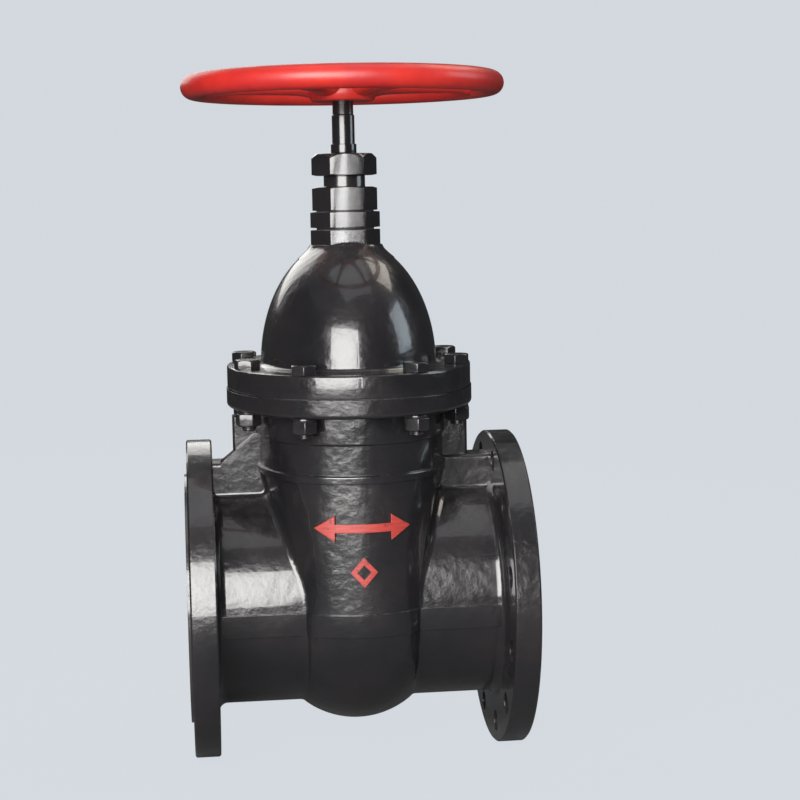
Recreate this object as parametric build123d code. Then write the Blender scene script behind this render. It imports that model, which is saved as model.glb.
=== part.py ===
from build123d import *
from math import atan2, copysign, cos, degrees, hypot, radians, sqrt, tan
import os

# Flanged cast-iron wedge gate valve, nominal bore 200 mm, non-rising stem.
# Millimetres. The pipe runs along X, the stem stands along +Z, and the origin
# is where the pipe axis crosses the stem axis. The gate is modelled closed.

# ---- pipe ends
BORE_R = 100.0
FACE_TO_FACE = 358.0
FLANGE_R = 170.0
FLANGE_T = 30.0
RAISED_FACE_R = 133.0
RAISED_FACE_T = 3.0
BOLT_CIRCLE_R = 147.5
FLANGE_HOLES = 12
FLANGE_HOLE_R = 11.5
NECK_R = 114.0
NECK_FILLET = 9.0
CAST_FILLET = 8.0
FLANGE_EDGE = 1.6

# ---- body casting: oval plans, each with its half widths along X and Y, then
# ---- the radii of its front and back arcs, its side arcs and its corner arcs
BELLY = (62.0, 136.0, 92.0, 3000.0, 14.0)
BELLY_TOP = (97.0, 131.0, 92.0, 225.0, 60.0)
BARREL = (98.5, 130.0, 92.0, 195.0, 70.0)
CAVITY_LOW = (50.0, 122.0, 84.0, 3000.0, 16.0)
CAVITY_TOP = (87.0, 118.0, 86.0, 200.0, 56.0)
BODY_FLANGE = (131.0, 159.0, 121.0, 190.0, 95.0)
COLLAR_PROUD = 2.5
COLLAR_FILLET = 1.5
BELLY_TOP_Z = 138.0
LOWER_RIB_Z = (138.0, 146.0)
UPPER_RIB_Z = 177.0
RIB_EDGE = 2.0
BODY_FLANGE_Z = (207.0, 226.0)
BODY_FLANGE_EDGE = 4.0
PARTING_BAND_Z = (-20.0, 4.0)
PARTING_BAND_PROUD = 1.2

# ---- gussets between the pipe necks and the barrel
GUSSET_Z = (100.0, 148.0)
POST_X = (90.0, 126.0)
POST_TOP_Z = 196.0
GUSSET_HALF_Y = 20.0
GUSSET_EDGE = 4.0
GUSSET_FILLET = 4.0
POST_HALF_Y = 13.0
POST_EDGE = 3.0
CHEEK_X = (104.0, 140.0)
CHEEK_TOP_Z = 177.0

# ---- seats, wedge and guides; the faces lean by the wedge angle
WEDGE_LEAN = tan(radians(5.0))
WEDGE_HALF_T = 34.0
WEDGE_R = 109.0
RING_PROUD = 2.0
RING_DEPTH = 8.0
SEAT_GAP = 0.1
SEAT_RING_R = 109.0
WEDGE_RING_R = (99.0, 107.5)
GUIDE_X = 8.0
GUIDE_Y = 106.5
GUIDE_ROOT_Y = 126.0
GUIDE_Z = (-30.0, 225.0)
LUG_X = 16.0
LUG_Y = 114.0
LUG_Z = (-30.0, 40.0)
STEM_NUT_HALF = 22.0
STEM_NUT_Z = (112.0, 137.0)
WEDGE_TOP_Z = 146.0
CROWN_HALF = (28.0, 30.0)
CORE_HALF_X = 16.0
CORE_R = 89.0
FIT = 0.08
SLACK = 0.4

# ---- bonnet
GASKET_T = 1.5
BONNET_Z = (BODY_FLANGE_Z[1] + GASKET_T, 250.5)
BONNET_FLANGE_INSET = 1.0
BONNET_EDGE = 3.0
DOME = (93.5, 126.0, 133.0)
DOME_INSIDE = (84.0, 116.5, 122.0)
NECK_HEX_R = 37.4
NECK_TOP_Z = 392.0
NECK_HEX_Z = 376.0
FLARE = [(50.0, 362.0), (44.5, 367.0), (41.0, 371.5), (38.8, NECK_HEX_Z)]
NECK_POCKET_R = 26.0
NECK_POCKET_Z = 378.0

# ---- bonnet fasteners, M16
BOLT_PLACES = [(110.0, 50.0), (56.5, 130.0)]
BOLT_R = 8.0
BOLT_HOLE_R = 8.8
BOLT_AF = 24.0
BOLT_HEAD = 10.0
NUT_T = 13.0
WASHER_T = 3.0
WASHER_R = 12.0
BOLT_END_Z = 186.0

# ---- stem and the screwed stack above the neck
THREAD_R = 15.0
STEM_R = 12.0
STEM_TOP_R = 11.0
STEM_FOOT_Z = 106.0
THRUST_COLLAR_R = 24.5
THRUST_COLLAR_Z = (380.1, 386.0)
THRUST_WASHER_R = 25.5
THRUST_WASHER_T = 1.9
NECK_NUT_Z = (394.0, 411.0)
NECK_NUT_SOCKET_Z = 400.0
NECK_GASKET_R = 30.5
SPIGOT_R = 19.8
BOX_HEX_R = 35.0
BOX_Z = (412.0, 437.0)
BOX_BARREL_R = 22.0
BOX_BARREL_TOP_Z = 461.0
PACKING_R = 18.8
PACKING_Z = (416.0, 440.0)
PACKING_COUNT = 4
GLAND_HEX_R = 35.0
GLAND_NUT_Z = (449.0, 472.0)
GLAND_ROOF_Z = 463.0
DUST_COLLAR_Z = (472.4, 482.0)
DUST_COLLAR_R = 13.6
STEM_STEP_Z = 512.0
SQUARE_Z = (531.0, 549.5)
SQUARE_WIDTH = (15.4, 13.6)
STEM_END_R = 6.0
STEM_END_Z = 562.0

# ---- handwheel
WHEEL_Z = 543.0
WHEEL_R = 158.0
RIM_R = 12.4
HUB_Z = (526.5, 551.0)
HUB_R = 36.0
SPOKES = 5
SPOKE_OVALS = [(16.0, 541.0, 30.0, 19.0), (60.0, 541.5, 21.0, 14.0), (152.0, WHEEL_Z, 17.0, 12.0)]
WHEEL_NUT_AF = 18.0
WHEEL_NUT_T = 8.0
WHEEL_WASHER = (15.0, 2.0)

# ---- raised marks on the belly
MARK_PROUD = 2.6
MARK_GAP = 0.15
ARROW_Z = 93.0
ARROW_HALF = (49.0, 13.5)
DIAMOND_Z = 48.0
DIAMOND_HALF = (14.0, 15.5)

UP = (Align.CENTER, Align.CENTER, Align.MIN)
BIG = 400.0


def disc(radius, z0, z1):
    return Pos(0, 0, z0) * Cylinder(radius, z1 - z0, align=UP)


def ring(inner, outer, z0, z1):
    return disc(outer, z0, z1) - disc(inner, z0 - 1, z1 + 1)


def along_x(solid):
    return Rot(0, 90, 0) * solid


def block(x, y, z):
    """A box from pairs of limits along each axis."""
    size = Box(x[1] - x[0], y[1] - y[0], z[1] - z[0])
    return Pos((x[0] + x[1]) / 2, (y[0] + y[1]) / 2, (z[0] + z[1]) / 2) * size


def lathe(points):
    """A solid turned about Z from (radius, height) corners."""
    outline = Plane.XZ * make_face(Polyline(*points, close=True))
    return revolve(outline, Axis.Z)


def grown(plan, extra):
    """The plan whose outline runs parallel to this one, that much further out."""
    return tuple(size + extra for size in plan)


def corner_centre(plan):
    """Where the corner arc is centred, so that it runs on from both its neighbours.

    It lies front_r - corner_r from the front arc's centre and side_r - corner_r
    from the side arc's centre, on the side away from the middle.
    """
    half_x, half_y, front_r, side_r, corner_r = plan
    front = Vector(0, half_y - front_r)
    side = Vector(half_x - side_r, 0)
    apart = (front - side).length
    from_side, from_front = side_r - corner_r, front_r - corner_r
    along = (apart ** 2 + from_side ** 2 - from_front ** 2) / (2 * apart)
    off = sqrt(from_side ** 2 - along ** 2)
    unit = (front - side).normalized()
    return side + unit * along + Vector(-unit.Y, unit.X) * off


def plan_face(plan, z):
    """An oval of eight arcs that run smoothly into each other."""
    half_x, half_y, front_r, side_r, corner_r = plan
    centre = corner_centre(plan)
    front = Vector(0, half_y - front_r)
    side = Vector(half_x - side_r, 0)
    on_front = front + (centre - front).normalized() * front_r
    on_side = side + (centre - side).normalized() * side_r
    middle = centre + ((on_front + on_side) / 2 - centre).normalized() * corner_r
    signs = [(1, 1), (-1, 1), (-1, -1), (1, -1)]
    arcs = []
    for x, y in signs:
        ends = [(x * point.X, y * point.Y) for point in (on_side, middle, on_front)]
        arcs.append(ThreePointArc(*ends))
    arcs.append(ThreePointArc((on_front.X, on_front.Y), (0, half_y), (-on_front.X, on_front.Y)))
    arcs.append(ThreePointArc((-on_side.X, on_side.Y), (-half_x, 0), (-on_side.X, -on_side.Y)))
    arcs.append(ThreePointArc((-on_front.X, -on_front.Y), (0, -half_y), (on_front.X, -on_front.Y)))
    arcs.append(ThreePointArc((on_side.X, -on_side.Y), (half_x, 0), (on_side.X, on_side.Y)))
    return Pos(0, 0, z) * make_face(arcs)


def plan_slab(plan, z0, z1):
    return extrude(plan_face(plan, z0), z1 - z0)


def plan_taper(low, high, z0, z1):
    """Straight taper between two oval plans."""
    faces = [plan_face(low, z0).face(), plan_face(high, z1).face()]
    return loft(faces, ruled=True)


def bowl(plan):
    """The plan swept half a turn about the pipe axis, below z = 0."""
    near_half = plan_face(plan, 0) & Pos(0, -plan[1]) * Rectangle(4 * plan[0], 2 * plan[1])
    return revolve(near_half, Axis.X, 180)


def hexagon(corner_r, z0, z1):
    return extrude(Pos(0, 0, z0) * RegularPolygon(corner_r, 6), z1 - z0)


def hex_piece(corner_r, z0, z1, cut_top=0.0, cut_bottom=0.0):
    """A hexagonal prism whose corners are turned off at 30 degrees or steeper."""
    inside = corner_r * cos(radians(30)) - 0.5
    outside = corner_r + 1
    envelope = lathe([
        (0, z0), (inside, z0), (outside, z0 + cut_bottom),
        (outside, z1 - cut_top), (inside, z1), (0, z1)])
    if not cut_bottom:
        envelope += disc(outside, z0, z0 + (z1 - z0) / 3)
    if not cut_top:
        envelope += disc(outside, z1 - (z1 - z0) / 3, z1)
    return hexagon(corner_r, z0, z1) & envelope


def lean_slab(near, far, side):
    """The leaning layer from near to far off the middle, on one side of the wedge."""
    reach = WEDGE_R + 60
    shift = reach * WEDGE_LEAN
    low_edge = [(near - shift, -reach), (far - shift, -reach)]
    high_edge = [(far + shift, reach), (near + shift, reach)]
    corners = [(side * x, z) for x, z in low_edge + high_edge]
    outline = Plane.XZ * make_face(Polyline(*corners, close=True))
    return extrude(outline, reach, both=True)


def bolt_spots():
    return [(sx * x, sy * y) for x, y in BOLT_PLACES for sx in (-1, 1) for sy in (-1, 1)]


def wall_direction(x, y):
    """Degrees from X to the line that leaves the barrel's wall squarely through (x, y)."""
    if abs(x) > abs(y):
        middle = Vector(copysign(BARREL[0] - BARREL[3], x), 0)
    else:
        middle = Vector(0, copysign(BARREL[1] - BARREL[2], y))
    return degrees(atan2(y - middle.Y, x - middle.X))


def at_bolts(solid):
    """Copies at every bolt, each hexagon with a flat facing the wall beside it."""
    return [Pos(x, y, 0) * Rot(0, 0, wall_direction(x, y) + 30) * solid for x, y in bolt_spots()]


def bolt_holes(z0, z1):
    return at_bolts(disc(BOLT_HOLE_R, z0, z1))


def pipe_end(side):
    """One neck and its flange, with the raised face and the ring of holes."""
    face = FACE_TO_FACE / 2
    back = face - FLANGE_T
    plate = disc(FLANGE_R, back, face - RAISED_FACE_T)
    rims = plate.edges().filter_by(GeomType.CIRCLE)
    plate = chamfer(rims, FLANGE_EDGE)
    neck = disc(NECK_R, WEDGE_HALF_T - 14, back + 1)
    end = plate + neck + disc(RAISED_FACE_R, back + 1, face)
    root = end.edges().filter_by(GeomType.CIRCLE)
    root = root.filter_by(lambda e: abs(e.radius - NECK_R) < 0.1 and abs(e.center().Z - back) < 0.1)
    end = fillet(root, NECK_FILLET)
    step = 360 / FLANGE_HOLES
    for index in range(FLANGE_HOLES):
        hole = Pos(BOLT_CIRCLE_R, 0, 0) * disc(FLANGE_HOLE_R, back - 1, face)
        end -= Rot(0, 0, (index + 0.5) * step) * hole
    end = along_x(end) if side > 0 else Rot(0, 0, 180) * along_x(end)
    seat_plane = WEDGE_HALF_T + 2 * RING_PROUD
    return end - lean_slab(0 - BIG, seat_plane, side)


def gusset(side):
    """The stiffening web between a pipe neck, its flange and the barrel."""
    flange_back = FACE_TO_FACE / 2 - FLANGE_T + 1
    shoulder = block((POST_X[0] - 12, flange_back), (-GUSSET_HALF_Y, GUSSET_HALF_Y), GUSSET_Z)
    shoulder = fillet(shoulder.edges().filter_by(Axis.X).sort_by(Axis.Z)[-2:], GUSSET_EDGE)
    post = block(POST_X, (-POST_HALF_Y, POST_HALF_Y), (GUSSET_Z[1] - 20, POST_TOP_Z))
    post = fillet(post.edges().filter_by(Axis.Z).sort_by(Axis.X)[-2:], POST_EDGE)
    if side > 0:
        return shoulder + post
    low, top = GUSSET_Z[1] - 8, CHEEK_TOP_Z
    slope = Polyline(
        (CHEEK_X[1], low), (CHEEK_X[1], GUSSET_Z[1]), (CHEEK_X[0], top),
        (POST_X[0], top), (POST_X[0], low), close=True)
    cheek = extrude(Plane.XZ * make_face(slope), GUSSET_HALF_Y)
    return Rot(0, 0, 180) * (shoulder + post + mirror(cheek, Plane.XZ))


def parting_band():
    """The low band left where the two halves of the mould met."""
    low, high = PARTING_BAND_Z
    proud = PARTING_BAND_PROUD
    flange_back = FACE_TO_FACE / 2 - FLANGE_T
    necks = along_x(disc(NECK_R + proud, -flange_back, flange_back))
    rounds = necks + bowl(grown(BELLY, proud)) + plan_slab(grown(BELLY, proud), 0, high)
    return rounds & block((-BIG, BIG), (-BIG, BIG), (low, high))


def guides():
    """The two upright guide ribs that the wedge slides on."""
    bars = []
    for side in (-1, 1):
        limits = sorted((side * GUIDE_Y, side * GUIDE_ROOT_Y))
        bars.append(block((-GUIDE_X, GUIDE_X), limits, GUIDE_Z))
    return bars


def samples(edge):
    return [edge @ share for share in (0.1, 0.5, 0.9)]


def on_neck(edge):
    """Whether an edge lies on the round outside of the pipe necks."""
    return all(abs(hypot(point.Y, point.Z) - NECK_R) < 0.05 for point in samples(edge))


def on_belly_seam(edge):
    """Whether an edge is where a pipe neck runs into the belly."""
    return on_neck(edge) and BELLY[0] - 10 < abs((edge @ 0.5).X) < BARREL[0]


def on_gusset_seam(edge):
    """Whether an edge is where a gusset's flank stands on a pipe neck."""
    flank = all(abs(abs(point.Y) - GUSSET_HALF_Y) < 0.05 for point in samples(edge))
    return flank and on_neck(edge) and (edge @ 0.5).Z > GUSSET_Z[0]


def under_flange(edge):
    """Whether an edge is where the collar meets the body flange's underside."""
    level = all(abs(point.Z - BODY_FLANGE_Z[0]) < 0.05 for point in samples(edge))
    middle = edge @ 0.5
    return level and abs(middle.X) < BARREL[0] + 5 and abs(middle.Y) < BARREL[1] + 5


def rounds():
    """Belly, barrel and pipe necks, run together with a cast fillet."""
    flange_back = FACE_TO_FACE / 2 - FLANGE_T
    shape = bowl(BELLY) + plan_taper(BELLY, BELLY_TOP, 0, BELLY_TOP_Z)
    shape += plan_slab(BARREL, BELLY_TOP_Z, BODY_FLANGE_Z[0] + 1)
    shape += along_x(disc(NECK_R, -flange_back, flange_back))
    return fillet(shape.edges().filter_by(on_belly_seam), CAST_FILLET)


def valve_body():
    outside = rounds()
    collar = grown(BARREL, COLLAR_PROUD)
    lower_rib = plan_slab(collar, *LOWER_RIB_Z)
    outside += fillet(lower_rib.faces().sort_by(Axis.Z)[-1].edges(), RIB_EDGE)
    upper_rib = plan_slab(collar, UPPER_RIB_Z, BODY_FLANGE_Z[0] + 1)
    outside += fillet(upper_rib.faces().sort_by(Axis.Z)[0].edges(), RIB_EDGE)
    plate = plan_slab(BODY_FLANGE, *BODY_FLANGE_Z)
    plate = fillet(plate.faces().sort_by(Axis.Z)[0].edges(), BODY_FLANGE_EDGE)
    outside += plate
    outside = fillet(outside.edges().filter_by(under_flange), COLLAR_FILLET)
    cavity = bowl(CAVITY_LOW) + plan_taper(CAVITY_LOW, CAVITY_TOP, 0, BELLY_TOP_Z)
    cavity += plan_slab(CAVITY_TOP, BELLY_TOP_Z, BODY_FLANGE_Z[1] + 1)
    for side in (-1, 1):
        outside += gusset(side)
    outside = fillet(outside.edges().filter_by(on_gusset_seam), GUSSET_FILLET)
    outside += parting_band()
    outside -= cavity
    for side in (-1, 1):
        outside += pipe_end(side)
    outside += guides()
    outside -= along_x(disc(BORE_R, -BIG, BIG))
    for side in (-1, 1):
        outside -= seat_ring(side, SEAT_RING_R + 0.02)
    outside -= bolt_holes(BODY_FLANGE_Z[0] - 1, BODY_FLANGE_Z[1] + 1)
    return outside


def seat_ring(side, outer=SEAT_RING_R):
    face = WEDGE_HALF_T + RING_PROUD + SEAT_GAP
    tube = along_x(ring(BORE_R, outer, -BIG, BIG))
    return tube & lean_slab(face, face + RING_DEPTH, side)


def wedge_ring(side):
    face = WEDGE_HALF_T + RING_PROUD
    tube = along_x(ring(*WEDGE_RING_R, -BIG, BIG))
    return tube & lean_slab(face - RING_DEPTH, face, side)


def wedge():
    between = lean_slab(0 - BIG, WEDGE_HALF_T, 1) & lean_slab(0 - BIG, WEDGE_HALF_T, -1)
    plate = along_x(disc(WEDGE_R, -BIG, BIG)) & between
    for side in (-1, 1):
        lug = block((-LUG_X, LUG_X), sorted((side * (WEDGE_R - 12), side * LUG_Y)), LUG_Z)
        plate += lug
        groove = sorted((side * (GUIDE_Y - 1.5), side * (LUG_Y + 10)))
        plate -= block((-GUIDE_X - 1.5, GUIDE_X + 1.5), groove, (-BIG / 2, BIG / 2))
    half_x, half_y = CROWN_HALF
    crown = block((-half_x, half_x), (-half_y, half_y), (WEDGE_R - 12, WEDGE_TOP_Z))
    plate += fillet(crown.edges().filter_by(Axis.Z), 8)
    plate -= along_x(disc(CORE_R, -CORE_HALF_X, CORE_HALF_X))
    plate -= disc(THREAD_R + 3, -BIG, BIG)
    slot = STEM_NUT_HALF + 0.2
    plate -= block((-BIG, BIG), (-slot, slot), (STEM_NUT_Z[0], STEM_NUT_Z[1] + 0.2))
    for side in (-1, 1):
        plate -= wedge_ring(side)
    return plate


def stem_nut():
    half = STEM_NUT_HALF
    nut = block((-half, half), (-half, half), STEM_NUT_Z)
    nut = chamfer(nut.edges().filter_by(Axis.Z), 2)
    return nut - disc(THREAD_R + FIT, *STEM_NUT_Z)


def square_taper(extra):
    sizes = [width + 2 * extra for width in SQUARE_WIDTH]
    faces = [(Pos(0, 0, z) * Rectangle(w, w)).face() for w, z in zip(sizes, SQUARE_Z)]
    return loft(faces, ruled=True)


def stem():
    low, high = THRUST_COLLAR_Z
    shaft = lathe([
        (0, STEM_FOOT_Z), (THREAD_R - 3, STEM_FOOT_Z), (THREAD_R, STEM_FOOT_Z + 3),
        (THREAD_R, low), (THRUST_COLLAR_R, low), (THRUST_COLLAR_R, high),
        (STEM_R, high), (STEM_R, STEM_STEP_Z), (STEM_TOP_R, STEM_STEP_Z + 1),
        (STEM_TOP_R, SQUARE_Z[0]), (0, SQUARE_Z[0])])
    end = lathe([
        (0, SQUARE_Z[1] - 2), (STEM_END_R, SQUARE_Z[1] - 2), (STEM_END_R, STEM_END_Z - 1.5),
        (STEM_END_R - 1.5, STEM_END_Z), (0, STEM_END_Z)])
    return shaft + square_taper(0) + end


def half_ellipsoid(semi_axes, z):
    unit = Sphere(1, arc_size1=0, arc_size2=90, align=UP)
    return Pos(0, 0, z) * scale(unit, semi_axes)


def bonnet():
    plate = plan_slab(grown(BODY_FLANGE, -BONNET_FLANGE_INSET), *BONNET_Z)
    plate = fillet(plate.faces().sort_by(Axis.Z)[-1].edges(), BONNET_EDGE)
    hull = plate + half_ellipsoid(DOME, BONNET_Z[1] - 0.5)
    hull += lathe([(0, FLARE[0][1]), *FLARE, (0, FLARE[-1][1])])
    hull += hexagon(NECK_HEX_R, NECK_HEX_Z - 2, NECK_TOP_Z)
    hull -= plan_slab(CAVITY_TOP, BONNET_Z[0] - 1, BONNET_Z[1] - 4)
    hull -= half_ellipsoid(DOME_INSIDE, BONNET_Z[1] - 4.5)
    hull -= disc(THREAD_R + SLACK, 340, NECK_POCKET_Z + 1)
    hull -= disc(NECK_POCKET_R, NECK_POCKET_Z, NECK_TOP_Z + 1)
    hull -= bolt_holes(BONNET_Z[0] - 1, BONNET_Z[1] + 1)
    return hull


def bonnet_gasket():
    sheet = plan_slab(grown(BODY_FLANGE, -3), BODY_FLANGE_Z[1], BONNET_Z[0])
    sheet -= plan_slab(CAVITY_TOP, BODY_FLANGE_Z[1] - 1, BONNET_Z[0] + 1)
    return sheet - bolt_holes(BODY_FLANGE_Z[1] - 1, BONNET_Z[0] + 1)


def bonnet_bolt():
    corner = BOLT_AF / sqrt(3)
    head = hex_piece(corner, BONNET_Z[1], BONNET_Z[1] + BOLT_HEAD, cut_top=1.6)
    shank = lathe([
        (0, BOLT_END_Z), (BOLT_R - 1.5, BOLT_END_Z), (BOLT_R, BOLT_END_Z + 1.5),
        (BOLT_R, BONNET_Z[1] + 1), (0, BONNET_Z[1] + 1)])
    return head + shank


def bonnet_nut():
    top = BODY_FLANGE_Z[0] - WASHER_T
    nut = hex_piece(BOLT_AF / sqrt(3), top - NUT_T, top, cut_bottom=1.6)
    return nut - disc(BOLT_R + 0.1, top - NUT_T - 1, top + 1)


def bonnet_washer():
    return ring(BOLT_R + 0.3, WASHER_R, BODY_FLANGE_Z[0] - WASHER_T, BODY_FLANGE_Z[0])


def neck_nut():
    """Hexagonal plug screwed into the neck over the stem's thrust collar."""
    plug = hexagon(NECK_HEX_R, *NECK_NUT_Z)
    plug_end = THRUST_COLLAR_Z[1] + THRUST_WASHER_T + 0.2
    plug += disc(NECK_POCKET_R - 0.1, plug_end, NECK_NUT_Z[0])
    plug -= disc(STEM_R + SLACK, plug_end - 1, NECK_NUT_Z[1])
    return plug - disc(SPIGOT_R + 0.2, NECK_NUT_SOCKET_Z, NECK_NUT_Z[1] + 1)


def packing_box():
    box = hex_piece(BOX_HEX_R, *BOX_Z, cut_top=1.4)
    box += disc(BOX_BARREL_R, BOX_Z[1] - 1, BOX_BARREL_TOP_Z)
    box += disc(SPIGOT_R, NECK_NUT_SOCKET_Z + 0.5, BOX_Z[0])
    box -= disc(STEM_R + SLACK, NECK_NUT_SOCKET_Z, BOX_Z[0] + 1)
    return box - disc(PACKING_R + 0.1, BOX_Z[0], BOX_BARREL_TOP_Z + 1)


def packing_rings():
    pitch = (PACKING_Z[1] - PACKING_Z[0]) / PACKING_COUNT
    starts = [PACKING_Z[0] + index * pitch for index in range(PACKING_COUNT)]
    return [ring(STEM_R + FIT, PACKING_R, z, z + pitch - 0.05) for z in starts]


def gland_nut():
    nut = hex_piece(GLAND_HEX_R, *GLAND_NUT_Z, cut_top=5.0, cut_bottom=1.0)
    nut -= disc(BOX_BARREL_R + 0.1, GLAND_NUT_Z[0] - 1, GLAND_ROOF_Z)
    return nut - disc(STEM_R + SLACK, GLAND_ROOF_Z - 1, GLAND_NUT_Z[1] + 1)


def rim():
    return Pos(0, 0, WHEEL_Z) * Torus(WHEEL_R, RIM_R)


def spoke():
    """A tapering oval arm from the hub, rising a little to the rim."""
    sections = []
    for x, z, wide, high in SPOKE_OVALS:
        plane = Plane(origin=(x, 0, z), x_dir=(0, 1, 0), z_dir=(1, 0, 0))
        sections.append((plane * Ellipse(wide / 2, high / 2)).face())
    return loft(sections)


def handwheel():
    hub = lathe([
        (0, HUB_Z[0]), (HUB_R - 4, HUB_Z[0]), (HUB_R - 1, HUB_Z[0] + 3), (HUB_R, HUB_Z[0] + 10),
        (HUB_R, HUB_Z[1] - 6), (HUB_R - 3, HUB_Z[1]), (0, HUB_Z[1])])
    wheel = rim() + hub
    for index in range(SPOKES):
        wheel += Rot(0, 0, 90 + index * 360 / SPOKES) * spoke()
    wheel -= disc(STEM_TOP_R + 0.1, HUB_Z[0] - 1, SQUARE_Z[0])
    wheel -= square_taper(0.05)
    return wheel - disc(STEM_END_R + 0.3, SQUARE_Z[1] - 1, HUB_Z[1] + 1)


def wheel_nut():
    low = HUB_Z[1] + WHEEL_WASHER[1]
    top = low + WHEEL_NUT_T
    nut = hex_piece(WHEEL_NUT_AF / sqrt(3), low, top, cut_top=1.2)
    return nut - disc(STEM_END_R + 0.1, low - 1, top + 1)


def belly_skin(offset):
    low, high = grown(BELLY, offset), grown(BELLY_TOP, offset)
    return plan_taper(low, high, 0, BELLY_TOP_Z)


def arrow_outline():
    """A flow arrow with a head at each end, for either direction of flow."""
    half, high = ARROW_HALF
    shaft = 0.32 * high
    head = half - 1.5 * high
    right = [(head, -shaft), (head, -high), (half, 0), (head, high), (head, shaft)]
    left = [(-x, -z) for x, z in right]
    return make_face(Polyline(*right, *left, close=True))


def diamond_outline():
    wide, high = DIAMOND_HALF
    outer = make_face(Polyline((wide, 0), (0, high), (-wide, 0), (0, -high), close=True))
    return outer - scale(outer, (0.5, 0.5, 1))


def raised_marks():
    """The red marks cast proud of the belly, following its curved front."""
    skin = belly_skin(MARK_PROUD) - belly_skin(MARK_GAP)
    front = block((-BIG, BIG), (-BIG, -100), (10, BELLY_TOP_Z - 2))
    marks = []
    for outline, z in ((arrow_outline(), ARROW_Z), (diamond_outline(), DIAMOND_Z)):
        prism = extrude(Plane.XZ * outline, BIG)
        marks += (skin & front & Pos(0, 0, z) * prism).solids()
    return marks


def save(name, shape):
    solids = list(shape) if isinstance(shape, (list, tuple)) else list(shape.solids())
    node = Compound(children=solids) if len(solids) > 1 else solids[0]
    export_step(node, f"parts/{name}.step")


def main():
    os.makedirs("parts", exist_ok=True)
    save("valve_body", valve_body())
    for side, word in ((-1, "left"), (1, "right")):
        save(f"seat_ring_{word}", seat_ring(side))
        save(f"wedge_ring_{word}", wedge_ring(side))
    save("wedge", wedge())
    save("stem_nut", stem_nut())
    save("stem", stem())
    save("bonnet", bonnet())
    save("bonnet_gasket", bonnet_gasket())
    save("bonnet_bolts", at_bolts(bonnet_bolt()))
    save("bonnet_washers", at_bolts(bonnet_washer()))
    save("bonnet_nuts", at_bolts(bonnet_nut()))
    low, high = THRUST_COLLAR_Z
    save("thrust_washer_lower", ring(THREAD_R + SLACK, THRUST_WASHER_R, NECK_POCKET_Z, low - 0.1))
    upper = (high + 0.1, high + THRUST_WASHER_T + 0.1)
    save("thrust_washer_upper", ring(STEM_R + FIT, THRUST_WASHER_R, *upper))
    save("neck_gasket", ring(NECK_POCKET_R + 0.2, NECK_GASKET_R, NECK_TOP_Z, NECK_NUT_Z[0]))
    save("neck_nut", neck_nut())
    save("packing_box_gasket", ring(SPIGOT_R + 0.4, NECK_GASKET_R, NECK_NUT_Z[1], BOX_Z[0]))
    save("packing_box", packing_box())
    save("packing_base_ring", ring(STEM_R + FIT, PACKING_R, BOX_Z[0], PACKING_Z[0]))
    save("packing_rings", packing_rings())
    save("gland_follower", ring(STEM_R + FIT, PACKING_R, PACKING_Z[1], GLAND_ROOF_Z))
    save("gland_nut", gland_nut())
    save("dust_collar", ring(STEM_R, DUST_COLLAR_R, *DUST_COLLAR_Z))
    save("handwheel", handwheel())
    radius, thick = WHEEL_WASHER
    save("handwheel_washer", ring(STEM_END_R + 0.3, radius, HUB_Z[1], HUB_Z[1] + thick))
    save("handwheel_nut", wheel_nut())
    save("raised_marks", raised_marks())


main()
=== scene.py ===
# %% [markdown]
# # A flanged gate valve in black enamel, with a red handwheel
# The valve is closed by a wedge that climbs a screw inside it. Its frame, sizes and moving parts come from
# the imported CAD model. This lesson dresses that frame: the visible castings, hexagons, bolts and the wheel
# are built again as smooth surfaces, and every finish is mixed from nodes.

# %% Load the frame
import math

import bpy
import numpy as np
from mathutils import Matrix, Vector


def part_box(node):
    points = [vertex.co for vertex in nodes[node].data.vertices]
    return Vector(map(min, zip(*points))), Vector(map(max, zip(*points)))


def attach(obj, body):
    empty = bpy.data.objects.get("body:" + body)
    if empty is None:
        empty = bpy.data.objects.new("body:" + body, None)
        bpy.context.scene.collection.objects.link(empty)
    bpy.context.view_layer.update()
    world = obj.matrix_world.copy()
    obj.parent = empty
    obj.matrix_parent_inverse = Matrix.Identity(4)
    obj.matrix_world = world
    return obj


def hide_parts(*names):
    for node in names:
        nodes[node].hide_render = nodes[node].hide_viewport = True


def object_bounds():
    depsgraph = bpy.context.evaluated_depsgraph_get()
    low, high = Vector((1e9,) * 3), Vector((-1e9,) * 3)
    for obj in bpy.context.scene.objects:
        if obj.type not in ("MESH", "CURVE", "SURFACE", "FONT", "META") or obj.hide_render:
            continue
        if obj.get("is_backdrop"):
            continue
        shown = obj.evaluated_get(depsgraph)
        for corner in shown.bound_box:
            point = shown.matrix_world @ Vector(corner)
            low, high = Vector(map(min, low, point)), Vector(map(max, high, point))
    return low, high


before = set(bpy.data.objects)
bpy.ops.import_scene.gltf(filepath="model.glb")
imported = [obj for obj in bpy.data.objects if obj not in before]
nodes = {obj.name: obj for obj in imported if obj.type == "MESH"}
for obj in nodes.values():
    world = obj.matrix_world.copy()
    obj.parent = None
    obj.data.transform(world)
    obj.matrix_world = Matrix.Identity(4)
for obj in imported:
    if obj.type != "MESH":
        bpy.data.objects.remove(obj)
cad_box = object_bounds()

MM = 0.001
print("frame:", len(nodes), "pieces, box in mm:", [[round(v / MM) for v in corner] for corner in cad_box])

# %% [markdown]
# Shapes are worked out in millimetres, because a valve is drawn in them, and turned into metres when the
# mesh is made. The frame says where each piece lies. `span` reads that back, so no place is typed twice.

# %% Places read from the frame
def span(node):
    """Lowest and highest corner of a CAD piece, in millimetres."""
    low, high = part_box(node)
    return np.array(low) / MM, np.array(high) / MM


print("handwheel from", span("handwheel")[0].round(1), "to", span("handwheel")[1].round(1))

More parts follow.
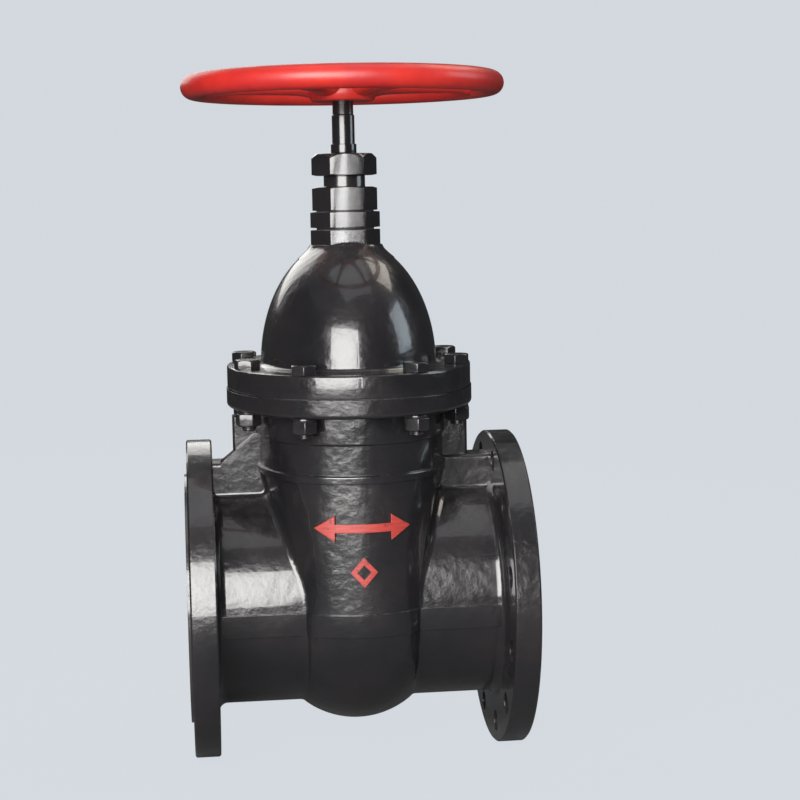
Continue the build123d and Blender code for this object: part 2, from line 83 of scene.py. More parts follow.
# %% [markdown]
# Every new surface here is a grid: rows of points, each row a closed loop. A wheel rim closes in both
# directions. Anything else is closed at its two ends with a fan of triangles. Writing this once keeps each
# shape down to its formula.

# %% From a grid of points to a closed skin
def skin(points, ring=False):
    """Four-sided faces between neighbouring rows, and a fan about the middle of each end row.

    Gives vertices, four-sided faces and triangles. With `ring` the last row joins the first.
    """
    rows, around = points.shape[:2]
    row = np.arange(rows if ring else rows - 1)[:, None] * around
    over = (row + around) % (rows * around)
    here = np.arange(around)
    following = (here + 1) % around
    quads = np.stack([row + here, row + following, over + following, over + here], -1).reshape(-1, 4)
    verts = points.reshape(-1, 3)
    if ring:
        return verts, quads, np.zeros((0, 3), int)
    top = (rows - 1) * around
    middles = np.stack([points[0].mean(0), points[-1].mean(0)])
    first = np.stack([following, here, np.full(around, len(verts))], -1)
    last = np.stack([top + here, top + following, np.full(around, len(verts) + 1)], -1)
    return np.vstack([verts, middles]), quads, np.vstack([first, last])


def outward(verts, quads, tris):
    """Turns every face round when the signed volume of the shell is negative."""
    fans = np.vstack([quads[:, [0, 1, 2]], quads[:, [0, 2, 3]], tris])
    a, b, c = (verts[fans[:, k]] for k in range(3))
    if np.einsum("ij,ij->", a, np.cross(b, c)) < 0:
        return verts, quads[:, ::-1], tris[:, ::-1]
    return verts, quads, tris


# %% [markdown]
# One call makes a finished piece out of one or more shells. It puts them in one mesh in metres, shades it
# smooth except over real corners, hangs it on the body that carries it and hides the CAD pieces it stands
# for.

# %% Make a piece
def make_piece(name, shells, body, stands_for, corner=35):
    """One mesh from closed shells in millimetres. Faces meeting at over `corner` degrees stay sharp."""
    verts, faces, start = [], [], 0
    for shell in shells:
        v, quads, tris = outward(*shell)
        verts.append(v)
        faces += (quads + start).tolist() + (tris + start).tolist()
        start += len(v)
    mesh = bpy.data.meshes.new(name)
    mesh.from_pydata((np.vstack(verts) * MM).tolist(), [], faces)
    mesh.update()
    mesh.shade_smooth()
    mesh.set_sharp_from_angle(angle=math.radians(corner))
    piece = bpy.data.objects.new(name, mesh)
    bpy.context.scene.collection.objects.link(piece)
    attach(piece, body)
    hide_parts(*stands_for)
    print(name, "has", len(faces), "faces and rides on", body)
    return piece


# %% [markdown]
# Two tools serve nearly every piece. A profile is a short list of corners, given as radius and height.
# `eased` rounds each corner off, as a foundry or a file would. `carried_round` takes it round the stem axis,
# and the radius may differ in every direction, as on a hexagon or an oval.

# %% Round off a profile, and carry it round
def eased(corners, cuts, steps=4):
    """Each inner corner becomes a parabola between the points that lie `cut` before and after it.

    A corner is (radius, height), or one such pair for every direction round the axis.
    """
    p = np.asarray(corners, float)
    back, ahead = p[:-2] - p[1:-1], p[2:] - p[1:-1]
    back_length = np.maximum(np.linalg.norm(back, axis=-1, keepdims=True), 1e-9)
    ahead_length = np.maximum(np.linalg.norm(ahead, axis=-1, keepdims=True), 1e-9)
    cut = np.broadcast_to(np.reshape(cuts, (-1,) + (1,) * (p.ndim - 1)), (len(p) - 2,) + (1,) * (p.ndim - 1))
    start = p[1:-1] + back * np.minimum(cut / back_length, 0.45)
    end = p[1:-1] + ahead * np.minimum(cut / ahead_length, 0.45)
    t = np.linspace(0, 1, steps + 1).reshape((-1,) + (1,) * p.ndim)
    bend = (1 - t) ** 2 * start + 2 * t * (1 - t) * p[1:-1] + t ** 2 * end
    bend = np.swapaxes(bend, 0, 1).reshape((-1,) + p.shape[1:])
    return np.concatenate([p[:1], bend, p[-1:]])


def carried_round(profile, u):
    """x = r cos u, y = r sin u, z = h, for each (r, h) of the profile, or of each direction's profile."""
    p = np.asarray(profile, float)
    if p.ndim == 2:
        p = np.repeat(p[:, None], len(u), axis=1)
    return np.stack([p[..., 0] * np.cos(u), p[..., 0] * np.sin(u), p[..., 1]], -1)


def each_way(corners, u):
    """Spreads a list of (radius, height) corners over every direction in u."""
    return np.array([[radius + 0 * u, height + 0 * u] for radius, height in corners]).transpose(0, 2, 1)


print("a bevelled corner becomes", len(eased([(0, 0), (5, 0), (5, 5)], 1)), "points")

# %% [markdown]
# ## The camera
# It stands to the left of the valve, a little above the bonnet, and looks slightly down and to the right.
# A long lens keeps the pipe flanges close to their true shape.

# %% Place the camera
STAND_OFF = 1900
CAMERA_HEIGHT = 425
WALK_LEFT, PAN_RIGHT, TILT, ROLL = (math.radians(a) for a in (4.941, 6.593, -6.52, -1.066))
LENS, SENSOR = 79.83, 36

eye = Vector((-math.sin(WALK_LEFT) * STAND_OFF, -math.cos(WALK_LEFT) * STAND_OFF, CAMERA_HEIGHT)) * MM
look = Vector((math.sin(PAN_RIGHT) * math.cos(TILT), math.cos(PAN_RIGHT) * math.cos(TILT), math.sin(TILT)))
level = Vector((math.cos(PAN_RIGHT), -math.sin(PAN_RIGHT), 0))
upright = level.cross(look)
right = math.cos(ROLL) * level + math.sin(ROLL) * upright
up = math.cos(ROLL) * upright - math.sin(ROLL) * level

camera = bpy.data.objects.new("camera", bpy.data.cameras.new("camera"))
camera.data.lens, camera.data.sensor_width = LENS, SENSOR
camera.matrix_world = Matrix.Translation(eye) @ Matrix((right, up, -look)).transposed().to_4x4()
bpy.context.scene.collection.objects.link(camera)
bpy.context.scene.camera = camera
print("camera at", [round(v, 3) for v in eye])

# %% [markdown]
# ## The studio
# A product studio stands such a valve on a sweep of pale paper, so that floor and wall run together
# without a line. Here the sweep is turned about the stem axis, so it does the same from every side.

# %% Roll out the pale sweep
FLOOR_Z = span("valve_body")[0][2]
SWEEP_FLAT, SWEEP_BEND, SWEEP_WALL = 3600, 1500, 3200


def sweep_profile():
    """Flat out to where the paper bends, a quarter circle up, then a straight wall."""
    bend = np.linspace(0, np.pi / 2, 13)
    rise = FLOOR_Z + SWEEP_BEND * (1 - np.cos(bend))
    quarter = np.stack([SWEEP_FLAT + SWEEP_BEND * np.sin(bend), rise], -1)
    flat = np.stack([np.linspace(1, SWEEP_FLAT, 10), np.full(10, FLOOR_Z)], -1)
    wall = [(SWEEP_FLAT + SWEEP_BEND, FLOOR_Z + SWEEP_BEND + SWEEP_WALL)]
    return np.vstack([flat[:-1], quarter, wall])


grid = carried_round(sweep_profile(), np.linspace(0, 2 * np.pi, 64, endpoint=False))
verts, quads, tris = skin(grid)
mesh = bpy.data.meshes.new("paper_sweep")
mesh.from_pydata((verts * MM).tolist(), [], quads[:, ::-1].tolist() + tris[:64, ::-1].tolist())
mesh.update()
mesh.shade_smooth()
paper = bpy.data.objects.new("paper_sweep", mesh)
bpy.context.scene.collection.objects.link(paper)
paper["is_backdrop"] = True
print("sweep", round(2 * (SWEEP_FLAT + SWEEP_BEND) * MM, 1), "m across")

# %% [markdown]
# Gloss enamel shows its lights more than its colour. A broad soft box stands front left and draws the soft
# upright band down every round front. A thin tube beside the camera draws the fine line down the flats
# of the hexagons. A cool window lies on the right, a warm ceiling panel behind the shoulder, and a weaker
# box behind, so that the far side can be read too.

# %% Hang the lights
LIGHT_AIM = Vector((0, 0, 0.2))


def soft_box(name, azimuth, elevation, distance, size, power, tint):
    """A rectangle of light on a ball round the valve. Azimuth 0 is in front, and grows to the right."""
    turn, rise = math.radians(azimuth), math.radians(elevation)
    out = Vector((math.sin(turn) * math.cos(rise), -math.cos(turn) * math.cos(rise), math.sin(rise)))
    lamp = bpy.data.lights.new(name, "AREA")
    lamp.shape = "RECTANGLE"
    lamp.size, lamp.size_y = size
    lamp.energy, lamp.color = power, tint
    holder = bpy.data.objects.new(name, lamp)
    holder.location = LIGHT_AIM + out * distance
    holder.rotation_euler = out.to_track_quat("Z", "Y").to_euler()
    holder.visible_camera = False
    bpy.context.scene.collection.objects.link(holder)
    return holder


soft_box("front_box", -19, 14, 2.3, (1.75, 1.6), 112, (1.0, 0.985, 0.97))
soft_box("front_tube", 4.5, 14, 2.0, (0.035, 1.3), 4, (1.0, 1.0, 1.0))
soft_box("right_window", 86, 20, 2.2, (0.9, 1.1), 11, (0.78, 0.91, 1.0))
soft_box("ceiling_panel", 118, 52, 2.4, (1.2, 0.9), 12, (1.0, 0.93, 0.82))
soft_box("back_box", 196, 28, 2.6, (1.9, 1.4), 20, (1.0, 0.98, 0.95))
soft_box("top_light", 20, 84, 2.8, (2.2, 2.2), 13, (0.97, 0.98, 1.0))

world = bpy.data.worlds.new("studio_air")
world.use_nodes = True
AIR_COLOUR, AIR_STRENGTH = (0.70, 0.735, 0.775, 1), 0.16
world.node_tree.nodes["Background"].inputs["Color"].default_value = AIR_COLOUR
world.node_tree.nodes["Background"].inputs["Strength"].default_value = AIR_STRENGTH
bpy.context.scene.world = world
bpy.context.scene.view_settings.view_transform = "Standard"

# %% [markdown]
# ## Hexagons
# A wrench hexagon is turned on a lathe before it is used, so each end falls away as a cone outside the
# circle of the flats, and only the corners lose metal. Seen from above the outline is a flat's straight
# line, with a small arc where two flats meet.

# %% The outline of a hexagon
def hexagon(across_flats, corner_arc, u, turn=0.0):
    """Distance from the axis to the outline in direction u.

    Along a flat it is half the width over the cosine of the angle from that flat's middle. Near a corner it
    is where the ray leaves the corner's own small circle.
    """
    half = across_flats / 2
    from_middle = np.mod(u - turn, np.pi / 3) - np.pi / 6
    from_corner = np.pi / 6 - np.abs(from_middle)
    centre = (half - corner_arc) / math.cos(math.pi / 6)
    across = centre * np.sin(from_corner)
    arc = centre * np.cos(from_corner) + np.sqrt(np.maximum(corner_arc ** 2 - across ** 2, 0))
    return np.where(np.abs(from_middle) > np.arctan2(centre / 2, half), arc, half / np.cos(from_middle))


def hexagon_directions(across_flats, corner_arc, turn=0.0):
    """Directions that crowd at the corners: nine along each flat and five round each corner."""
    half = across_flats / 2
    edge = np.arctan2((half - corner_arc) / math.cos(math.pi / 6) / 2, half)
    along = np.linspace(-edge, edge, 9)
    round_corner = np.linspace(edge, np.pi / 3 - edge, 7)[1:-1]
    one = np.concatenate([along, round_corner]) + np.pi / 6
    return (turn + np.arange(6)[:, None] * np.pi / 3 + one).ravel()


print("corner of a 24 mm hexagon:", hexagon(24, 1.0, np.array([0.0])).round(2), "mm from its axis")

# %% A hexagonal body with a bore
def hexagonal(across_flats, low, high, bore, cut_low=0.3, cut_high=0.3, turn=0.0, arc=1.2, above=()):
    """A hexagonal tube. Outside a circle near the flats the ends fall by `cut` at the corners.

    `above` adds (radius, height) corners over the hexagon, such as a barrel.
    """
    u = hexagon_directions(across_flats, arc, turn)
    outline = hexagon(across_flats, arc, u, turn)
    corner = across_flats / math.sqrt(3)
    flat_end = across_flats / 2 - 0.5
    share = (outline - flat_end) / (corner - flat_end)
    middle = (low + high) / 2
    rows = [(bore, middle + 1), *above, (flat_end, high), (outline, high - cut_high * share)]
    if not above:
        rows.insert(1, (bore, high))
    rows += [(outline, low + cut_low * share), (flat_end, low), (bore, low), (bore, middle - 1)]
    return skin(carried_round(eased(each_way(rows, u), 0.5), u), ring=True)


def shifted(shell, x, y):
    verts, quads, tris = shell
    return verts + np.array([x, y, 0]), quads, tris


print("one nut is", len(hexagonal(24, 191, 204, 8)[1]), "faces")

# %% [markdown]
# ## The gland end
# Three hexagons stand on the bonnet's neck. The lowest is a plug that holds the stem's collar down. The
# packing box is screwed into it, and its barrel carries the gland nut, whose top corners are turned well
# off. All are painted black over the machining.

# %% Neck nut, packing box and gland nut
NECK_AF, BOX_AF, GLAND_AF = 64.8, 60.6, 60.6
NECK_LOW, NECK_HIGH = 394, 411
BOX_LOW, BOX_HIGH, BOX_BARREL_R, BOX_BARREL_TOP = 412, 437, 22, 461
GLAND_LOW, GLAND_HIGH = 449, 472
STEM_HOLE = 12.4

neck_nut = make_piece(
    "neck_plug", [hexagonal(NECK_AF, NECK_LOW, NECK_HIGH, 20, 0.4, 0.4, arc=1.6)],
    "casing", ["neck_nut"])
barrel = [(19, BOX_BARREL_TOP), (BOX_BARREL_R, BOX_BARREL_TOP), (BOX_BARREL_R, BOX_HIGH)]
packing_box = make_piece(
    "stuffing_box", [hexagonal(BOX_AF, BOX_LOW, BOX_HIGH, 19, 0.4, 1.4, arc=1.4, above=barrel)],
    "casing", ["packing_box"])
gland_nut = make_piece(
    "gland_cap", [hexagonal(GLAND_AF, GLAND_LOW, GLAND_HIGH, STEM_HOLE, 1.0, 5.0, arc=1.4)],
    "casing", ["gland_nut"])

# %% [markdown]
# ## The stem
# It turns in its collar and never rises. Its lower part is a square-cut screw that lifts the wedge. The
# screw is left-handed, so that turning the wheel clockwise closes the valve. Above the packing it is plain,
# steps down once, and ends in a tapered square for the wheel and a short screw for the wheel's nut.

# %% Stem: a screw, a shaft and a tapered square
SCREW_R, SCREW_DEPTH, SCREW_LEAD = 15, 2.6, 6
SHAFT_R, UPPER_R, STEP_Z = 12, 11, 512
HUB_HIGH = span("handwheel_washer")[0][2]
SQUARE_LOW, SQUARE_HIGH, SQUARE_HALF_LOW, SQUARE_HALF_HIGH = 531, HUB_HIGH - 1.5, 7.7, 6.8
END_R, COLLAR_R, COLLAR_LOW, COLLAR_HIGH = 6, 24.5, 380.1, 386

round_stem = np.linspace(0, 2 * np.pi, 48, endpoint=False)


def thread(radius, depth, lead, heights, u, hand=1):
    """Radius less the depth times a trapezium wave of height over lead, plus or minus one turn round."""
    phase = np.mod(heights[:, None] / lead - hand * u[None, :] / (2 * np.pi), 1)
    wave = np.clip(2 - np.abs(phase - 0.5) * 8, 0, 1)
    return np.stack([radius - depth * wave, heights[:, None] + 0 * u], -1)


def squared(half, u):
    """Distance to a square: half its width over the larger of |cos u| and |sin u|, corners just broken."""
    return np.minimum(half / np.maximum(np.abs(np.cos(u)), np.abs(np.sin(u))), half * 1.36)


def level_row(radius, height, u):
    """One row at one height, whose radius may differ in each direction."""
    return each_way([(radius, height)], u)


foot = span("stem")[0][2]
screw_heights = np.arange(foot + 3, COLLAR_LOW - 6, 0.5)
screw = thread(SCREW_R, SCREW_DEPTH, SCREW_LEAD, screw_heights, round_stem, hand=-1)
plain = eased(
    [(SCREW_R, COLLAR_LOW - 5), (SCREW_R, COLLAR_LOW), (COLLAR_R, COLLAR_LOW), (COLLAR_R, COLLAR_HIGH),
     (SHAFT_R, COLLAR_HIGH), (SHAFT_R, STEP_Z), (UPPER_R, STEP_Z + 1), (UPPER_R, SQUARE_LOW - 0.5),
     (UPPER_R - 0.6, SQUARE_LOW)], 0.4)
plain = np.repeat(plain[:, None], len(round_stem), axis=1)
square_low = level_row(squared(SQUARE_HALF_LOW, round_stem), SQUARE_LOW + 0.01, round_stem)
square_high = level_row(squared(SQUARE_HALF_HIGH, round_stem), SQUARE_HIGH, round_stem)
stem_top = span("stem")[1][2]
end_heights = np.arange(SQUARE_HIGH + 0.4, stem_top - 1.4, 0.25)
end_screw = thread(END_R, 0.5, 1.5, end_heights, round_stem)
point = [level_row(END_R - 1.4, stem_top - 0.3, round_stem), level_row(END_R - 2, stem_top, round_stem)]
start = [level_row(SCREW_R - 3, foot, round_stem), level_row(SCREW_R - 2.6, foot + 1, round_stem)]
rows = np.concatenate([*start, screw, plain, square_low, square_high, end_screw, *point])
stem = make_piece(
    "spindle_shaft", [skin(carried_round(rows, round_stem))], "spindle", ["stem"])

# %% Dust collar
collar_low, collar_high = (corner[2] for corner in span("dust_collar"))
collar_r = span("dust_collar")[1][0]
collar_profile = eased(
    [(SHAFT_R + 0.05, 477), (SHAFT_R + 0.05, collar_high), (collar_r, collar_high), (collar_r, collar_low),
     (SHAFT_R + 0.05, collar_low), (SHAFT_R + 0.05, 476)], 0.5)
collar = make_piece(
    "stem_collar", [skin(carried_round(collar_profile, round_stem), ring=True)],
    "spindle", ["dust_collar"])

# %% [markdown]
# ## The handwheel
# A cast iron wheel has a round rim, five arms and a hub. A torus gives the rim. Every arm is an oval that
# shrinks outwards, and swells again where it runs into the hub and the rim. That swelling is the fillet a
# moulder leaves so that the iron doesn't crack there.

# %% Rim, arms and hub
WHEEL_Z, RIM_R, RIM_TUBE, ARMS = 543, 158, 12.4, 5
HUB_LOW, HUB_R = span("handwheel")[0][2], 36


def rim(steps=220, round_tube=44):
    """x = (R + t cos v) cos u, y = (R + t cos v) sin u, z = height + t sin v."""
    u = np.linspace(0, 2 * np.pi, steps, endpoint=False)[:, None]
    v = np.linspace(0, 2 * np.pi, round_tube, endpoint=False)[None]
    hand_smoothed = RIM_TUBE - 0.12 * (1 + np.sin(7 * u + 2 * np.sin(3 * u)) * np.cos(v))
    reach = RIM_R + hand_smoothed * np.cos(v)
    return np.stack([reach * np.cos(u), reach * np.sin(u), WHEEL_Z + hand_smoothed * np.sin(v)], -1)


def arm(direction):
    """An oval carried outwards: half width 8.5 + 6.5 (1 - t)^2 with t from hub to rim, plus both fillets."""
    s = np.linspace(22, 157, 60)[:, None]
    v = np.linspace(0, 2 * np.pi, 32, endpoint=False)[None]
    t = (s - 22) / 135
    fillet = np.exp(-np.maximum(RIM_R - RIM_TUBE - s, 0) / 7) + np.exp(-np.maximum(s - HUB_R, 0) / 9)
    wide = 8.2 + 4.5 * (1 - t) ** 2 + 4.5 * fillet
    high = 5.8 + 2.0 * (1 - t) ** 2 + 2.8 * fillet
    side, rise = wide * np.cos(v), WHEEL_Z - 2 + 2 * t + high * np.sin(v)
    ahead, aside = math.cos(direction), math.sin(direction)
    return np.stack([s * ahead - side * aside, s * aside + side * ahead, rise + 0 * s], -1)


def hub(around=96):
    """A turned boss with a square bore that narrows upwards with the stem."""
    u = np.linspace(0, 2 * np.pi, around, endpoint=False)
    bore_low, bore_high = squared(SQUARE_HALF_LOW + 0.1, u) * 1.02, squared(SQUARE_HALF_HIGH + 0.1, u) * 1.02
    corners = [
        (bore_low, HUB_LOW + 10), (bore_high, HUB_HIGH), (HUB_R - 3, HUB_HIGH), (HUB_R, HUB_HIGH - 5),
        (HUB_R, HUB_LOW + 7), (HUB_R - 3, HUB_LOW), (11.6, HUB_LOW), (11.6, HUB_LOW + 8)]
    return carried_round(eased(each_way(corners, u), [0.6, 2.5, 2.5, 3, 2.5, 0.6]), u)


shells = [skin(rim(), ring=True), skin(hub(), ring=True)]
shells += [skin(arm(math.radians(90 + k * 360 / ARMS))) for k in range(ARMS)]
wheel = make_piece("wheel_casting", shells, "spindle", ["handwheel"], corner=50)

# %% Wheel washer and nut
washer_low, washer_high = (corner[2] for corner in span("handwheel_washer"))
nut_low, nut_high = (corner[2] for corner in span("handwheel_nut"))
flat_washer = [(6.6, washer_high - 1), (6.6, washer_high), (15, washer_high), (15, washer_low),
               (6.6, washer_low), (6.6, washer_low + 1)]
wheel_washer = make_piece(
    "wheel_washer", [skin(carried_round(eased(flat_washer, 0.35), round_stem), ring=True)],
    "spindle", ["handwheel_washer"])
wheel_nut = make_piece(
    "wheel_nut", [hexagonal(18, nut_low, nut_high, 6.1, 0.3, 1.2, arc=0.5)],
    "spindle", ["handwheel_nut"])

# %% [markdown]
# ## The bonnet bolts
# Eight bolts hold the bonnet. Their heads are on top, and a nut and a washer are under the body flange on
# each. The fitter leaves a flat of each hexagon facing the wall, so the turn of every head is read back
# from the frame: the corner directions of the CAD head, folded into one sixth of a circle.

# %% Read how each bolt is turned
BOLT_PLACES = [(sx * x, sy * y) for x, y in [(110, 50), (56.5, 130)] for sx in (-1, 1) for sy in (-1, 1)]
BOLT_AF, BOLT_R, BOLT_PITCH = 24, 8, 2
HEAD_LOW, HEAD_HIGH, BOLT_END = span("bonnet")[0][2] + 23, span("bonnet_bolts")[1][2], 186
NUT_LOW, NUT_HIGH = (corner[2] for corner in span("bonnet_nuts"))
WASHER_LOW, WASHER_HIGH = (corner[2] for corner in span("bonnet_washers"))


def corner_turn(node, x, y):
    """The mean direction of the points that lie at the hexagon's corners, six times over, over six."""
    mesh = nodes[node].data
    points = np.zeros(len(mesh.vertices) * 3, np.float32)
    mesh.vertices.foreach_get("co", points)
    away = points.reshape(-1, 3)[:, :2] / MM - (x, y)
    far = away[np.abs(np.hypot(*away.T) - BOLT_AF / math.sqrt(3)) < 0.15]
    six = 6 * np.arctan2(far[:, 1], far[:, 0])
    return math.atan2(np.sin(six).mean(), np.cos(six).mean()) / 6


turns = {place: corner_turn("bonnet_nuts", *place) for place in BOLT_PLACES}
print("bolt turns in degrees:", [round(math.degrees(turn), 1) for turn in turns.values()])

# %% Heads, shanks, nuts and washers
round_bolt = np.linspace(0, 2 * np.pi, 32, endpoint=False)
bolt_heights = np.arange(BOLT_END + 1.2, 212, 0.25)
bolt_screw = thread(BOLT_R - 0.05, 1.1, BOLT_PITCH, bolt_heights, round_bolt)
bolt_rows = np.concatenate([
    level_row(BOLT_R - 1.7, BOLT_END, round_bolt), level_row(BOLT_R - 1.2, BOLT_END + 0.5, round_bolt),
    bolt_screw, level_row(BOLT_R, 213, round_bolt), level_row(BOLT_R, HEAD_LOW + 0.5, round_bolt)])
shank = skin(carried_round(bolt_rows, round_bolt))


def bolt_head(turn):
    """A hexagon with a turned top and a closed crown."""
    u = hexagon_directions(BOLT_AF, 0.8, turn)
    outline = hexagon(BOLT_AF, 0.8, u, turn)
    share = (outline - 11.5) / (BOLT_AF / math.sqrt(3) - 11.5)
    rows = [(4, HEAD_LOW), (outline, HEAD_LOW), (outline, HEAD_HIGH - 1.6 * share), (11.5, HEAD_HIGH),
            (4, HEAD_HIGH)]
    return skin(carried_round(eased(each_way(rows, u), [0.3, 0.5, 0.5]), u))


def under_nut(turn):
    return hexagonal(BOLT_AF, NUT_LOW, NUT_HIGH, BOLT_R + 0.05, 1.6, 0.3, turn, arc=0.8)


ring_profile = eased(
    [(8.4, WASHER_LOW + 1), (8.4, WASHER_HIGH), (12, WASHER_HIGH), (12, WASHER_LOW), (8.4, WASHER_LOW),
     (8.4, WASHER_LOW + 0.9)], 0.4)
washer = skin(carried_round(ring_profile, round_bolt), ring=True)
heads = [shifted(bolt_head(turns[place]), *place) for place in BOLT_PLACES]
shanks = [shifted(shank, *place) for place in BOLT_PLACES]
bolts = make_piece("cover_bolts", heads + shanks, "casing", ["bonnet_bolts"])
nuts = make_piece(
    "cover_nuts", [shifted(under_nut(turns[place]), *place) for place in BOLT_PLACES],
    "casing", ["bonnet_nuts"])
washers = make_piece(
    "cover_washers", [shifted(washer, *place) for place in BOLT_PLACES],
    "casing", ["bonnet_washers"])

# %% [markdown]
# ## The bonnet
# One casting: an oval flange, a tall dome, and a neck that flares out of the dome into a hexagon. Each is
# known as a distance from the stem axis in every direction, so the outside at any height is simply the
# larger of two distances. A smooth maximum rounds the join, as a sand mould does.

# %% The oval flange's plan
def oval(half_x, half_y, front_r, side_r, corner_r, u):
    """Distance to an outline of eight arcs in direction u: the ray leaves through the arc of its sector.

    An arc with centre c and radius R is left at c.d + sqrt((c.d)^2 - |c|^2 + R^2), where d is the direction.
    """
    side, front = np.array([half_x - side_r, 0.0]), np.array([0.0, half_y - front_r])
    gap = front - side
    apart, near, far = np.hypot(*gap), side_r - corner_r, front_r - corner_r
    along = (apart ** 2 + near ** 2 - far ** 2) / (2 * apart)
    square_to = np.array([gap[1], -gap[0]]) / apart
    corner = side + gap / apart * along + square_to * math.sqrt(near ** 2 - along ** 2)
    if corner[1] < 0 or corner[0] < side[0]:
        corner = side + gap / apart * along - square_to * math.sqrt(near ** 2 - along ** 2)
    to_side = corner + (corner - side) / near * corner_r
    to_front = corner + (corner - front) / far * corner_r
    d = np.abs(np.stack([np.cos(u), np.sin(u)], -1))
    turn = np.arctan2(d[:, 1], d[:, 0])
    reach = []
    for centre, radius in ((side, side_r), (corner, corner_r), (front, front_r)):
        dot = d @ centre
        reach.append(dot + np.sqrt(np.maximum(dot ** 2 - centre @ centre + radius ** 2, 0)))
    sectors = [turn < math.atan2(to_side[1], to_side[0]), turn < math.atan2(to_front[1], to_front[0])]
    return np.select(sectors, reach[:2], reach[2])


FLANGE_PLAN = (130, 158, 120, 189, 94)
ring_u = np.linspace(0, 2 * np.pi, 288, endpoint=False)
plan = oval(*FLANGE_PLAN, ring_u)
print("flange reaches", plan[0].round(2), "sideways and", plan[72].round(2), "forwards")

# %% Bonnet: dome, flare and hexagon in one skin
FLANGE_LOW, FLANGE_HIGH, FLANGE_EDGE, FOOT_FILLET = span("bonnet")[0][2], HEAD_LOW, 3, 9
DOME_X, DOME_Y, DOME_Z = 93.5, 126, 133
INNER_X, INNER_Y, INNER_Z, INNER_MIDDLE = 84, 116.5, 122, 246
WEDGE_ROOM_PLAN, WEDGE_ROOM_TOP = (87, 118, 86, 200, 56), 246.5
NECK_LOW_Z, NECK_TOP, POCKET_R, POCKET_Z = 376, 392, 26, 378
FLARE = [(50, 362), (44.5, 367), (41, 371.5), (38.8, 376)]


def ellipse(half_x, half_y, u):
    """Distance to an ellipse: one over the root of (cos u / a)^2 + (sin u / b)^2."""
    return 1 / np.sqrt((np.cos(u) / half_x) ** 2 + (np.sin(u) / half_y) ** 2)


def dome(height):
    """The dome's distance at a height is its foot's times the root of 1 - (rise / tallness)^2."""
    share = np.sqrt(np.clip(1 - ((height - 250) / DOME_Z) ** 2, 0, 1))
    return ellipse(DOME_X, DOME_Y, ring_u) * share


def joined(a, b, softness):
    """The larger of two distances, plus a smooth bulge where they are within `softness` of each other."""
    near = np.maximum(softness - np.abs(a - b), 0)
    return np.maximum(a, b) + near ** 2 / (4 * softness)


flare_r, flare_z = np.array(FLARE).T
hexed = hexagon(NECK_AF, 1.6, ring_u)
foot_r = dome(FLANGE_HIGH)
wedge_room = oval(*WEDGE_ROOM_PLAN, ring_u)
corners = [
    (wedge_room, FLANGE_LOW), (plan, FLANGE_LOW), (plan, FLANGE_HIGH),
    (foot_r, FLANGE_HIGH), (dome(FLANGE_HIGH + 12), FLANGE_HIGH + 12)]
flange_rows = eased(each_way(corners, ring_u), [0.6, FLANGE_EDGE, FOOT_FILLET], steps=6)
dome_heights = np.concatenate([np.linspace(FLANGE_HIGH + 16, 350, 34), np.linspace(352, 361, 7)])
dome_rows = [level_row(dome(z), z, ring_u) for z in dome_heights]
flare_heights = np.linspace(362, NECK_LOW_Z, 15)
flare_rows = [
    level_row(joined(dome(z), np.interp(z, flare_z, flare_r), 5), z, ring_u) for z in flare_heights]
hex_heights = np.concatenate([np.linspace(NECK_LOW_Z + 0.02, 384, 12), [NECK_TOP - 0.4]])
hex_rows = [level_row(joined(dome(z), hexed, 2.5), z, ring_u) for z in hex_heights]
top_rows = [
    level_row(r, z, ring_u)
    for r, z in [(hexed - 0.4, NECK_TOP), (POCKET_R, NECK_TOP), (POCKET_R, POCKET_Z), (16, POCKET_Z)]]
inner = [
    level_row(ellipse(INNER_X, INNER_Y, ring_u) * math.cos(a), INNER_MIDDLE + INNER_Z * math.sin(a), ring_u)
    for a in np.linspace(math.radians(78), math.asin((WEDGE_ROOM_TOP - INNER_MIDDLE) / INNER_Z), 24)]
inner.append(level_row(wedge_room, WEDGE_ROOM_TOP, ring_u))
bonnet_rows = np.concatenate(
    [flange_rows, *dome_rows, *flare_rows, *hex_rows, *top_rows, level_row(16, 367, ring_u), *inner])
bonnet = make_piece(
    "bonnet_casting", [skin(carried_round(bonnet_rows, ring_u), ring=True)],
    "casing", ["bonnet"])

# %% [markdown]
# ## Mixing finishes
# A finish is a small net of nodes. The helper below adds one node with its values, and joins sockets when
# it is given another node's output, so that a finish reads like a recipe.

# %% A short way to write node nets
def put(tree, kind, out=0, **settings):
    """Adds a node. A keyword is one of its properties, or an input by name with _ for a space.

    Gives the node's output numbered or named `out`.
    """
    node = tree.nodes.new(kind)
    for key, value in settings.items():
        if hasattr(node, key):
            setattr(node, key, value)
            continue
        name = key.replace("_", " ")
        free = [s for s in node.inputs if s.name == name and s.enabled and not s.is_linked]
        socket = node.inputs[int(key[1:])] if key[0] == "i" and key[1:].isdigit() else free[0]
        if isinstance(value, bpy.types.NodeSocket):
            tree.links.new(value, socket)
        else:
            socket.default_value = value
    return node.outputs[out]


def ramp(tree, factor, low, high, from_value=0.0, to_value=1.0):
    """Straight blend from one value to another while the factor goes from low to high."""
    return put(
        tree, "ShaderNodeMapRange", i0=factor, i1=low, i2=high, i3=from_value, i4=to_value)


def tint(tree, factor, plain, changed):
    """Mixes two colours by a factor."""
    return put(tree, "ShaderNodeMix", out=2, data_type="RGBA", i0=factor, i6=plain, i7=changed)


def blend(tree, operation, first, second):
    return put(tree, "ShaderNodeMath", operation=operation, i0=first, i1=second)


# %% [markdown]
# ### Effects that several finishes share
# A node group is a tool with named inputs and outputs. This cell starts one. Blender 4.5 names the sockets
# through the tree's interface.

